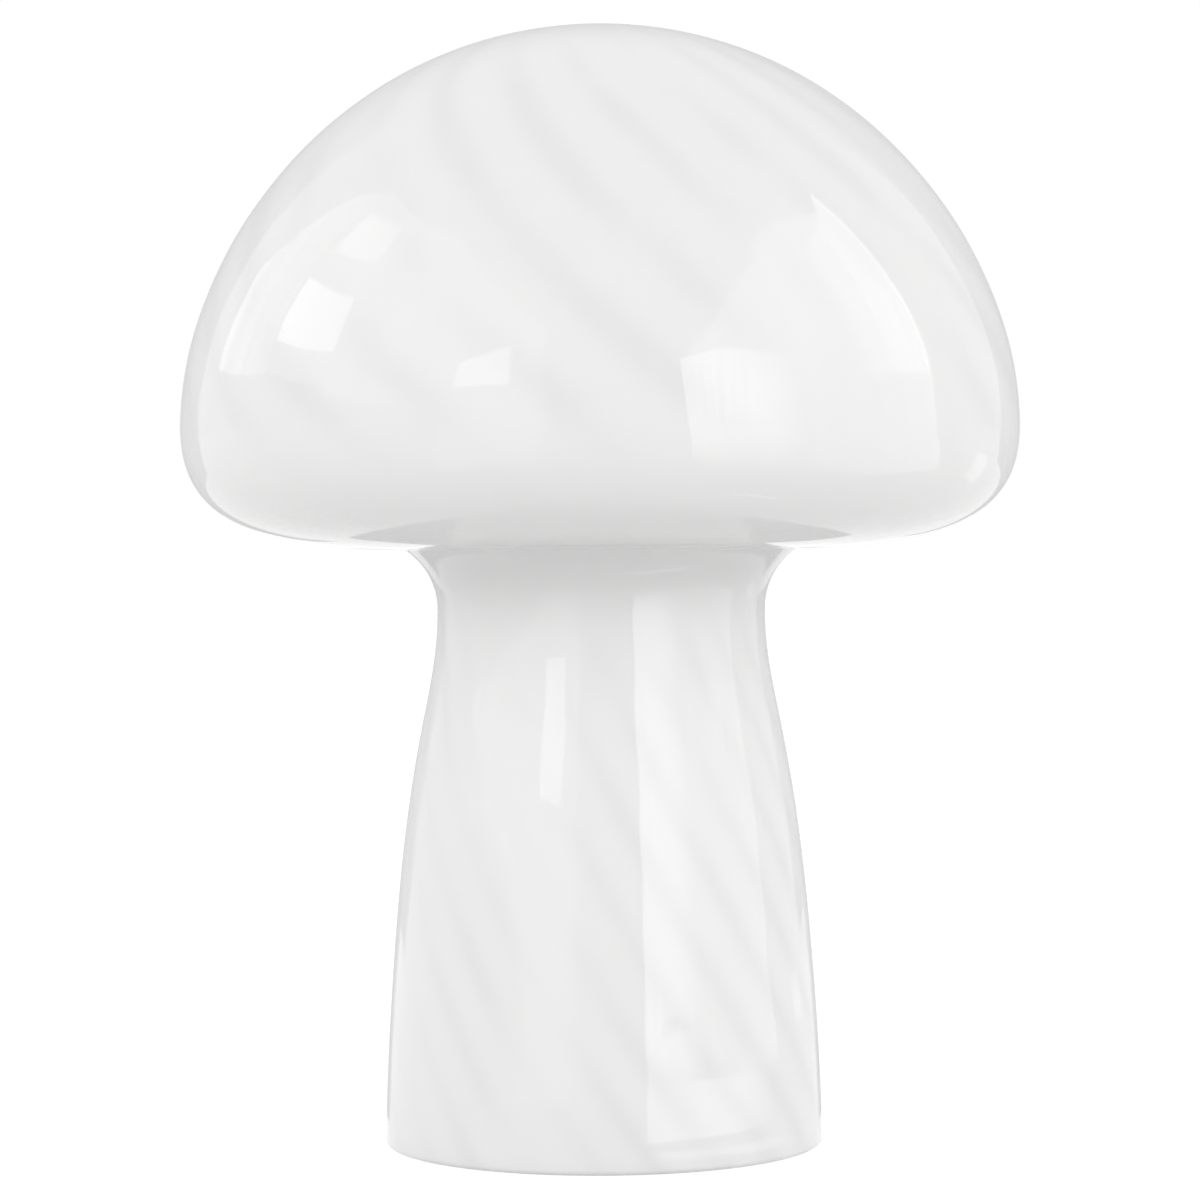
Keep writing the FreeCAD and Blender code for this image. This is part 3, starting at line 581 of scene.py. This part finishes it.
def dress(material, *names):
    """Gives CAD nodes that keep their own shape a finish."""
    for name in names:
        data = NODES[name].data
        data.materials.clear()
        data.materials.append(material)


# ---- Operators --------------------------------------------------------------------------------------


class PieceOperator(bpy.types.Operator):
    """Makes pieces of the lamp."""

    bl_options = {"REGISTER", "UNDO"}

    def make(self, scene):
        raise NotImplementedError

    def execute(self, context):
        self.make(context.scene)
        return {"FINISHED"}


class BlowGlass(PieceOperator):
    """Blows the opal glass body, with its winding lines and the cord's hole"""

    bl_idname = "mushroom_lamp.blow_glass"
    bl_label = "Glass body"

    def make(self, scene):
        piece = make_glass(scene.lamp_glass)
        piece.data.materials.append(opal_glass(scene.lamp_glass))
        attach(piece, "glass")
        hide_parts("glass_body")


class FitGrommet(PieceOperator):
    """Finishes the rubber grommet in the cord's hole"""

    bl_idname = "mushroom_lamp.fit_grommet"
    bl_label = "Cord grommet"

    def make(self, scene):
        rubber = moulded("grommet_rubber", scene.lamp_fittings.rubber, 1400.0, 0.00002, (0.55, 0.72))
        dress(rubber, "cord_grommet")


class FitBracket(PieceOperator):
    """Finishes the spring bracket and the silicone sleeves on its arms"""

    bl_idname = "mushroom_lamp.fit_bracket"
    bl_label = "Spring bracket"

    def make(self, scene):
        fittings = scene.lamp_fittings
        dress(plated("spring_steel", fittings.spring, (0.26, 0.46), (1.0, 1.0, 9.0)), "spring_bracket")
        silicone = moulded(
            "sleeve_silicone", fittings.silicone, 700.0, 0.000015, (0.42, 0.58), Subsurface_Weight=0.3,
            Subsurface_Scale=0.002, Subsurface_Radius=(1.0, 1.0, 1.0),
        )
        dress(silicone, "arm_sleeve_1", "arm_sleeve_2", "arm_sleeve_3")


class FitTube(PieceOperator):
    """Makes the threaded tube and finishes its nuts, washers and bush"""

    bl_idname = "mushroom_lamp.fit_tube"
    bl_label = "Threaded tube"

    def make(self, scene):
        fittings = scene.lamp_fittings
        zinc = plated("plated_steel", fittings.zinc)
        tube = make_threaded_tube(fittings)
        tube.data.materials.append(zinc)
        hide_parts("threaded_tube")
        dress(zinc, "lower_washer", "upper_washer", "lower_nut", "upper_nut")
        dress(moulded("bush_plastic", fittings.plastic, 1200.0, 0.00001, (0.35, 0.5)), "tube_bush")


class FitLampholder(PieceOperator):
    """Finishes the lampholder's shells, terminal block, contacts and screws"""

    bl_idname = "mushroom_lamp.fit_lampholder"
    bl_label = "Lampholder"

    def make(self, scene):
        fittings = scene.lamp_fittings
        dress(moulded("holder_plastic", fittings.plastic, 800.0, 0.00003), "holder_cap", "holder_skirt")
        ceramic = moulded("block_ceramic", fittings.ceramic, 500.0, 0.00005, (0.6, 0.8))
        dress(ceramic, "terminal_block")
        brass = plated("contact_brass", fittings.brass, (0.18, 0.40), (1.0, 6.0, 1.0))
        dress(brass, "centre_contact", "side_contact")
        screws = plated("screw_steel", fittings.zinc, (0.2, 0.36), (1.0, 1.0, 1.0))
        dress(screws, "terminal_screws", "holder_lock_screw")


class FitBulb(PieceOperator):
    """Finishes the bulb's shell, housing, globe and boards"""

    bl_idname = "mushroom_lamp.fit_bulb"
    bl_label = "Bulb"

    def make(self, scene):
        bulb = scene.lamp_bulb
        dress(plated("nickel_shell", bulb.nickel, (0.12, 0.28), (1.0, 1.0, 14.0)), "bulb_screw_cap")
        dress(plated("tip_metal", bulb.tin, (0.25, 0.45), (1.0, 1.0, 1.0)), "bulb_tip")
        dress(moulded("insulator_glass", bulb.insulator, 300.0, 0.00001, (0.06, 0.16)), "bulb_insulator")
        dress(moulded("bulb_plastic", bulb.housing, 700.0, 0.00001, (0.28, 0.40)), "bulb_housing")
        globe = moulded(
            "globe_opal", bulb.globe, 500.0, 0.000006, (0.30, 0.40), Subsurface_Weight=0.5,
            Subsurface_Scale=0.004, Subsurface_Radius=(1.0, 1.0, 1.0),
        )
        dress(globe, "bulb_globe")
        dress(moulded("board_white", bulb.led_board, 900.0, 0.00001, (0.3, 0.45)), "led_board")
        dress(moulded("led_phosphor", bulb.phosphor, 2500.0, 0.00001, (0.3, 0.5)), "led_chips")
        dress(moulded("board_green", bulb.board, 1500.0, 0.00001, (0.25, 0.4)), "driver_board")


# ---- Studio -----------------------------------------------------------------------------------------


def towards(azimuth, elevation):
    """The direction from the lamp: azimuth 0 is the camera's side, 90 the right; degrees."""
    a, e = math.radians(azimuth), math.radians(elevation)
    return Vector((math.sin(a) * math.cos(e), -math.cos(a) * math.cos(e), math.sin(e)))


def glow(name, level, folds=0.0, fold_scale=CURTAIN_WAVE, fading=None):
    """A card's glowing face, whose level is shared out by the card's own; folds is how much it swings from
    fold to fold of a curtain, and fading holds two heights between which it changes to plain white."""
    material = bpy.data.materials.new(name)
    face = Shading(material)
    face.nodes.remove(face.nodes["Principled BSDF"])
    if folds:
        flat = face.add("Mapping", {"Vector": face.where(), "Scale": (1.0, 1.0, 0.0)}).outputs["Vector"]
        way = face.add("VectorMath", {0: flat}, operation="NORMALIZE").outputs["Vector"]
        fold = face.add("TexNoise", {"Vector": way, "Scale": fold_scale, "Detail": 2.0}).outputs["Fac"]
        level = face.ramp(fold, 0.35, 0.65, level * (1 - folds), level * (1 + folds), "LINEAR")
    elif fading:
        level = face.ramp(face.height(), *fading, level, 1.0)
    own = face.add("Attribute", attribute_name=CARD_LEVEL).outputs["Fac"]
    light = face.add("Emission", {"Strength": face.sum("MULTIPLY", own, level)})
    face.join(face.nodes["Material Output"].inputs["Surface"], light.outputs[0])
    return material


def make_card(name, level, columns, nearness=1.0, radius=0.0, low_level=1.0, **face):
    """A sheet round the lamp that only its gloss sees; columns are (azimuth, lowest, highest elevation) and
    may end with a share of its level, and low_level is the share left at its lowest edge.
    One with a smaller nearness hides what lies behind it, and one with a radius stands upright there."""
    columns = [column if len(column) == 4 else (*column, 1.0) for column in columns]
    places = []
    for first, last in zip(columns, columns[1:]):
        steps = max(1, round(abs(last[0] - first[0]) / CARD_STEP))
        for step in range(steps + (last == columns[-1])):
            places.append([a + (b - a) * step / steps for a, b in zip(first, last)])
    vertices = []
    levels = []
    for azimuth, low, high, share_here in places:
        for row in range(CARD_ROWS + 1):
            whole = min(1.0, row / CARD_ROWS / CARD_LOW_PART)
            levels.append(share_here * (low_level + (1 - low_level) * whole))
            way = towards(azimuth, low + (high - low) * row / CARD_ROWS)
            to_floor = LOOK_HEIGHT / max(-way.z, LOOK_HEIGHT / STUDIO_REACH)
            distance = radius / way.xy.length if radius else CARD_CLEARANCE * nearness * to_floor
            vertices.append(Vector((0, 0, LOOK_HEIGHT)) + distance * way)
    faces = []
    for column in range(len(places) - 1):
        for row in range(CARD_ROWS):
            start = column * (CARD_ROWS + 1) + row
            after = start + CARD_ROWS + 1
            faces.append((start, after, after + 1, start + 1))
    card = new_piece(name, vertices, faces)
    card.data.attributes.new(CARD_LEVEL, "FLOAT", "POINT").data.foreach_set("value", levels)
    card.data.materials.append(glow(name, level, **face))
    for seen_by in ("camera", "diffuse", "transmission", "shadow"):
        setattr(card, f"visible_{seen_by}", False)


def make_world(studio):
    """White where it is seen, and a soft light that is stronger from the side where it lights."""
    world = bpy.data.worlds.new("studio")
    bpy.context.scene.world = world
    sky = Shading(world)
    up = sky.height("Generated")
    around = sky.ramp(up, 0.0, 1.0, studio.sky_low, studio.sky_high, "LINEAR")
    dip = sky.ramp(up, 0.0, studio.sky_dip_rise, studio.sky_dip, 1.0)
    levels = {0: sky.seen_directly(), 2: sky.sum("MULTIPLY", around, dip), 3: 1.0}
    shown = sky.nodes["Background"].inputs
    shown["Color"].default_value = (1.0, 1.0, 1.0, 1.0)
    sky.join(shown["Strength"], sky.add("Mix", levels, data_type="FLOAT").outputs[0])


def make_floor(studio):
    """A wide pale floor that stays white round the lamp and keeps its faint shadow; close to the lamp its
    colour is painted darker as shade under the cap, which darkens the light it throws back.
    """
    reach = FLOOR_REACH
    corners = [(-reach, -reach, 0), (reach, -reach, 0), (reach, reach, 0), (-reach, reach, 0)]
    floor = new_piece("floor", corners, [(0, 1, 2, 3)])
    paint = Finish("pale_floor", Roughness=0.8)
    distance = paint.add("VectorMath", {0: paint.where()}, operation="LENGTH").outputs["Value"]
    # Painted shade: the floor's colour is darker close to the lamp, where the cap's shade falls, and plain
    # further out.
    away = paint.ramp(distance, *FLOOR_SHADE_REACH)
    paint.colour(paint.mix(away, opaque(studio.floor_shade_colour), opaque(studio.floor)))
    white = paint.add("Emission", {"Strength": FLOOR_WHITE}).outputs[0]
    amount = paint.sum("MULTIPLY", paint.seen_directly(), FLOOR_WHITE_SHARE)
    blend = paint.add("MixShader", {0: amount, 1: paint.surface.outputs[0], 2: white})
    paint.join(paint.nodes["Material Output"].inputs["Surface"], blend.outputs[0])
    floor.data.materials.append(paint.material)
    floor.location.z = -FLOOR_GAP


def make_cards(studio):
    """The windows that show in the glass, and the shades that draw its edges."""
    window = studio.window
    make_card(
        "window_right", window * 1.15,
        [(22, -28, 20), (32, -28, 22), (42, -28, 21, 0.95), (54, -28, 20, 0.58)],
        nearness=0.97, low_level=0.62, folds=0.18, fold_scale=60.0,
    )
    make_card(
        "window_right_side", window * 0.62,
        [(25, -33, 23), (40, -33, 37), (62, -33, 51), (75, -33, 51), (100.5, -24, 46)],
        folds=0.12, fold_scale=18.0,
    )
    make_card("window_right_mid", window * 0.78, [(75, 12, 43), (91, 12, 47)], nearness=0.985, folds=0.12)
    make_card("window_right_near", window * 0.95, [(85, 13, 45), (100, 12, 50)], nearness=0.97, folds=0.12)
    make_card(
        "window_right_foot", window * 0.95,
        [(17, -56.4, -53.8), (58, -56.4, -53.8), (80, -56.4, -53.8, 0.36)], radius=0.125,
    )
    make_card(
        "window_right_rim", window * 0.7,
        [(17, -68.4, -68.05), (58, -68.4, -68.05), (80, -68.4, -68.05, 0.36)], radius=0.075,
    )

    dim = studio.side_window
    make_card("pane_right_back", dim * 0.95, [(120, -21, -10), (129, -21, -10)])
    make_card(
        "window_left", dim, [(-127, 10, 24), (-112, 11, 44), (-99, 12, 52), (-55, 4, 52), (-42, -4, 46)],
        folds=0.12, fold_scale=18.0,
    )
    make_card("window_left_front", dim, [(-42, -34, 46), (-15, -30, 29)])
    make_card("pane_left_low", dim * 1.9, [(-101, 19, 31), (-78, 19, 32)], nearness=0.97)
    make_card("pane_left_high", dim * 1.5, [(-98, 38, 46), (-79, 40, 49)], nearness=0.97)
    make_card("pane_left_front", dim * 1.95, [(-38, 11, 18), (-24, 11, 24)], nearness=0.97)
    make_card("slit_left", dim * 0.66, [(-92, 3, 11), (-79, 3, 11)], nearness=0.97)

    shade = studio.backdrop_shade
    fading = (1.4, 2.9)
    make_card("edge_shade", shade, [(138, -2, 66), (180, -2, 66), (222, -2, 66)], fading=fading)
    make_card("edge_shade_right", shade, [(138, -9, -2), (170, -9, -2)], fading=fading)
    make_card("edge_shade_left", shade, [(190, -12, -2), (222, -12, -2)], fading=fading)
    make_card("stem_shade", shade, [(112, -67.1, -35), (248, -67.1, -35)], radius=0.08)


def make_camera(studio):
    camera = bpy.data.objects.new("camera", bpy.data.cameras.new("camera"))
    bpy.context.scene.collection.objects.link(camera)
    camera.data.sensor_width = 36.0
    camera.data.lens = studio.focal_length
    camera.location = (-studio.camera_aside, -studio.distance, studio.camera_height)
    level = Matrix.Rotation(math.pi / 2 - studio.pitch, 4, "X")
    camera.rotation_euler = (level @ Matrix.Rotation(studio.roll, 4, "Z")).to_euler()
    bpy.context.scene.camera = camera


class SetStudio(PieceOperator):
    """Sets up the floor, the soft light, the reflected windows and the camera"""

    bl_idname = "mushroom_lamp.set_studio"
    bl_label = "Studio"

    def make(self, scene):
        studio = scene.lamp_studio
        make_world(studio)
        make_floor(studio)
        make_cards(studio)
        make_camera(studio)
        scene.view_settings.view_transform = "Standard"


class LampPanel(bpy.types.Panel):
    """Lists the steps that build the lamp"""

    bl_idname = "VIEW3D_PT_mushroom_lamp"
    bl_label = "Mushroom Lamp"
    bl_space_type = "VIEW_3D"
    bl_region_type = "UI"
    bl_category = "Lamp"

    def draw(self, context):
        for operator in OPERATORS:
            self.layout.operator(operator.bl_idname)
        for group in SETTINGS:
            box = self.layout.box()
            settings = getattr(context.scene, group)
            for name in settings.bl_rna.properties.keys():
                if name not in ("name", "rna_type"):
                    box.prop(settings, name)


SETTINGS = {
    "lamp_glass": GlassSettings,
    "lamp_fittings": FittingSettings,
    "lamp_bulb": BulbSettings,
    "lamp_studio": StudioSettings,
}
OPERATORS = (BlowGlass, FitGrommet, FitBracket, FitTube, FitLampholder, FitBulb, SetStudio)


def register():
    for group in (*SETTINGS.values(), *OPERATORS, LampPanel):
        bpy.utils.register_class(group)
    for name, group in SETTINGS.items():
        setattr(bpy.types.Scene, name, PointerProperty(type=group))


def unregister():
    for name in SETTINGS:
        delattr(bpy.types.Scene, name)
    for group in (LampPanel, *reversed(OPERATORS), *reversed(SETTINGS.values())):
        bpy.utils.unregister_class(group)


def main():
    register()
    for operator in OPERATORS:
        group, name = operator.bl_idname.split(".")
        getattr(getattr(bpy.ops, group), name)()


if __name__ == "__main__":
    main()
